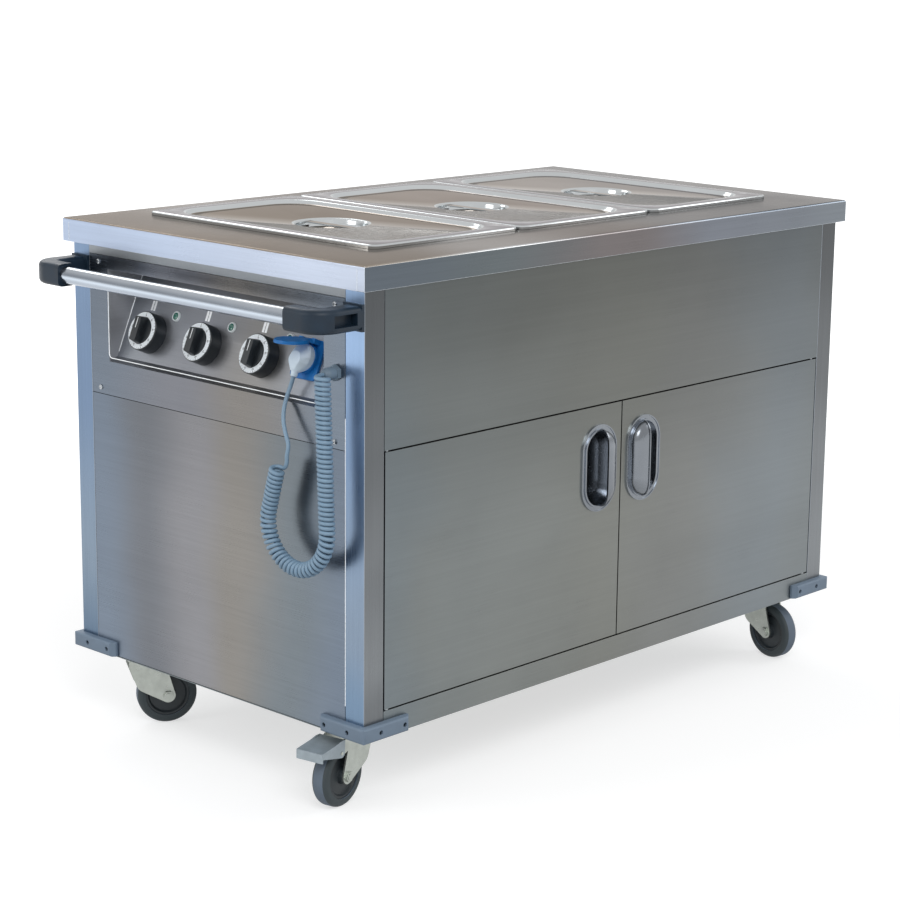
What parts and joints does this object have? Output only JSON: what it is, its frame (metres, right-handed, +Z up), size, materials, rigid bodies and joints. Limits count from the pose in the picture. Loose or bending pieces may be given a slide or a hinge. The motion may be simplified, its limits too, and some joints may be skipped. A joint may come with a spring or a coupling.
{
  "type": "hostess trolley",
  "caption": "Heated serving trolley: stainless cabinet with lidded wells, hinged doors, thermostat knobs, push bar, braked swivel casters and a curly mains cord.",
  "frame": {"origin": "centre of the bounding box at floor level", "axes": "+X points away from the push bar along the trolley, -Y is the side with the doors, +Z is up"},
  "size_m": [1.268, 0.7082, 0.8563],
  "materials": {
    "steel": "brushed stainless steel",
    "polished": "polished stainless steel",
    "heater": "heater plate",
    "black": "black moulded plastic",
    "grey": "grey moulded plastic",
    "blue": "blue socket plastic",
    "white": "white plug plastic",
    "cord": "grey cord sheath",
    "zinc": "bright zinc plated steel",
    "hub": "dark grey hub plastic",
    "tyre": "grey rubber tyre",
    "lamp": "green lamp lens in a pale ring",
    "electric": "thermostat body"
  },
  "bodies": {
    "cabinet": {"post_front_left": "steel", "post_front_right": "steel", "post_rear_left": "steel", "post_rear_right": "steel", "base_pan": "steel", "top_rails": "steel", "worktop": "steel", "well_left": "steel", "well_middle": "steel", "well_right": "steel", "heating_plates": "heater", "front_fascia": "steel", "control_panel": "steel", "end_panel_left": "steel", "end_panel_right": "steel", "back_panel": "steel", "cupboard_liner": "steel", "shelf": "steel", "push_bar": "polished", "bracket_front": "black", "bracket_rear": "black", "bumper_front_left": "grey", "bumper_front_right": "grey", "bumper_rear_left": "grey", "bumper_rear_right": "grey", "screws": "steel", "caster_plates": "zinc", "hinge_pins": "steel", "thermostats": "electric", "lamps": "lamp", "socket_base": "blue", "cable_gland": "grey", "cord_lead": "cord", "cord_coil": "cord", "plug": "white"},
    "door_left": {"door_left": "steel", "grip_left": "polished"},
    "door_right": {"door_right": "steel", "grip_right": "polished"},
    "lid_left": {"lid_left": "polished"},
    "lid_middle": {"lid_middle": "polished"},
    "lid_right": {"lid_right": "polished"},
    "knob_rear": {"knob_rear": "black"},
    "knob_middle": {"knob_middle": "black"},
    "knob_front": {"knob_front": "black"},
    "socket_flap": {"socket_flap": "blue"},
    "caster_front_left": {"fork_front_left": "zinc"},
    "wheel_front_left": {"hub_front_left": "hub", "tyre_front_left": "tyre"},
    "brake_front_left": {"pedal_front_left": "zinc"},
    "caster_front_right": {"fork_front_right": "zinc"},
    "wheel_front_right": {"hub_front_right": "hub", "tyre_front_right": "tyre"},
    "caster_rear_left": {"fork_rear_left": "zinc"},
    "wheel_rear_left": {"hub_rear_left": "hub", "tyre_rear_left": "tyre"},
    "caster_rear_right": {"fork_rear_right": "zinc"},
    "wheel_rear_right": {"hub_rear_right": "hub", "tyre_rear_right": "tyre"},
    "brake_rear_right": {"pedal_rear_right": "zinc"}
  },
  "joints": [
    {"name": "door_left_hinge", "type": "hinge", "parent": "cabinet", "child": "door_left", "pos_m": [-0.4935, -0.3279, 0.368], "axis": [0, 0, -1], "range_deg": [0, 110]},
    {"name": "door_right_hinge", "type": "hinge", "parent": "cabinet", "child": "door_right", "pos_m": [0.5715, -0.3279, 0.368], "axis": [0, 0, 1], "range_deg": [0, 110]},
    {"name": "lid_left_lift", "type": "slide", "parent": "cabinet", "child": "lid_left", "axis": [0, 0, 1], "range_m": [0, 0.3]},
    {"name": "lid_middle_lift", "type": "slide", "parent": "cabinet", "child": "lid_middle", "axis": [0, 0, 1], "range_m": [0, 0.3]},
    {"name": "lid_right_lift", "type": "slide", "parent": "cabinet", "child": "lid_right", "axis": [0, 0, 1], "range_m": [0, 0.3]},
    {"name": "knob_front_turn", "type": "hinge", "parent": "cabinet", "child": "knob_front", "pos_m": [-0.51008, -0.0789, 0.674], "axis": [0.9198, 0, -0.3924], "range_deg": [0, 270]},
    {"name": "knob_middle_turn", "type": "hinge", "parent": "cabinet", "child": "knob_middle", "pos_m": [-0.51008, 0.0546, 0.674], "axis": [0.9198, 0, -0.3924], "range_deg": [0, 270]},
    {"name": "knob_rear_turn", "type": "hinge", "parent": "cabinet", "child": "knob_rear", "pos_m": [-0.51008, 0.1881, 0.674], "axis": [0.9198, 0, -0.3924], "range_deg": [0, 270]},
    {"name": "flap_hinge", "type": "hinge", "parent": "cabinet", "child": "socket_flap", "pos_m": [-0.5081, -0.1749, 0.71433], "axis": [0, 1, 0], "range_deg": [0, 85], "stiffness_Nm_per_rad": 0.02},
    {"name": "caster_front_left_swivel", "type": "hinge", "parent": "cabinet", "child": "caster_front_left", "pos_m": [-0.486, -0.2439, 0.1], "axis": [0, 0, 1], "continuous": true},
    {"name": "wheel_front_left_spin", "type": "hinge", "parent": "caster_front_left", "child": "wheel_front_left", "pos_m": [-0.51948, -0.2498, 0.05], "axis": [0.1736, -0.9848, 0], "continuous": true},
    {"name": "brake_front_left_press", "type": "hinge", "parent": "caster_front_left", "child": "brake_front_left", "pos_m": [-0.53918, -0.25328, 0.0937], "axis": [0.1736, -0.9848, 0], "range_deg": [0, 6]},
    {"name": "caster_front_right_swivel", "type": "hinge", "parent": "cabinet", "child": "caster_front_right", "pos_m": [0.564, -0.2439, 0.1], "axis": [0, 0, 1], "continuous": true},
    {"name": "wheel_front_right_spin", "type": "hinge", "parent": "caster_front_right", "child": "wheel_front_right", "pos_m": [0.55986, -0.27765, 0.05], "axis": [0.9925, -0.1219, 0], "continuous": true},
    {"name": "caster_rear_left_swivel", "type": "hinge", "parent": "cabinet", "child": "caster_rear_left", "pos_m": [-0.486, 0.2521, 0.1], "axis": [0, 0, 1], "continuous": true},
    {"name": "wheel_rear_left_spin", "type": "hinge", "parent": "caster_rear_left", "child": "wheel_rear_left", "pos_m": [-0.45655, 0.2351, 0.05], "axis": [0.5, 0.866, 0], "continuous": true},
    {"name": "caster_rear_right_swivel", "type": "hinge", "parent": "cabinet", "child": "caster_rear_right", "pos_m": [0.564, 0.2521, 0.1], "axis": [0, 0, 1], "continuous": true},
    {"name": "wheel_rear_right_spin", "type": "hinge", "parent": "caster_rear_right", "child": "wheel_rear_right", "pos_m": [0.53456, 0.2691, 0.05], "axis": [-0.5, -0.866, 0], "continuous": true},
    {"name": "brake_rear_right_press", "type": "hinge", "parent": "caster_rear_right", "child": "brake_rear_right", "pos_m": [0.51724, 0.2791, 0.0937], "axis": [-0.5, -0.866, 0], "range_deg": [0, 6]}
  ]
}
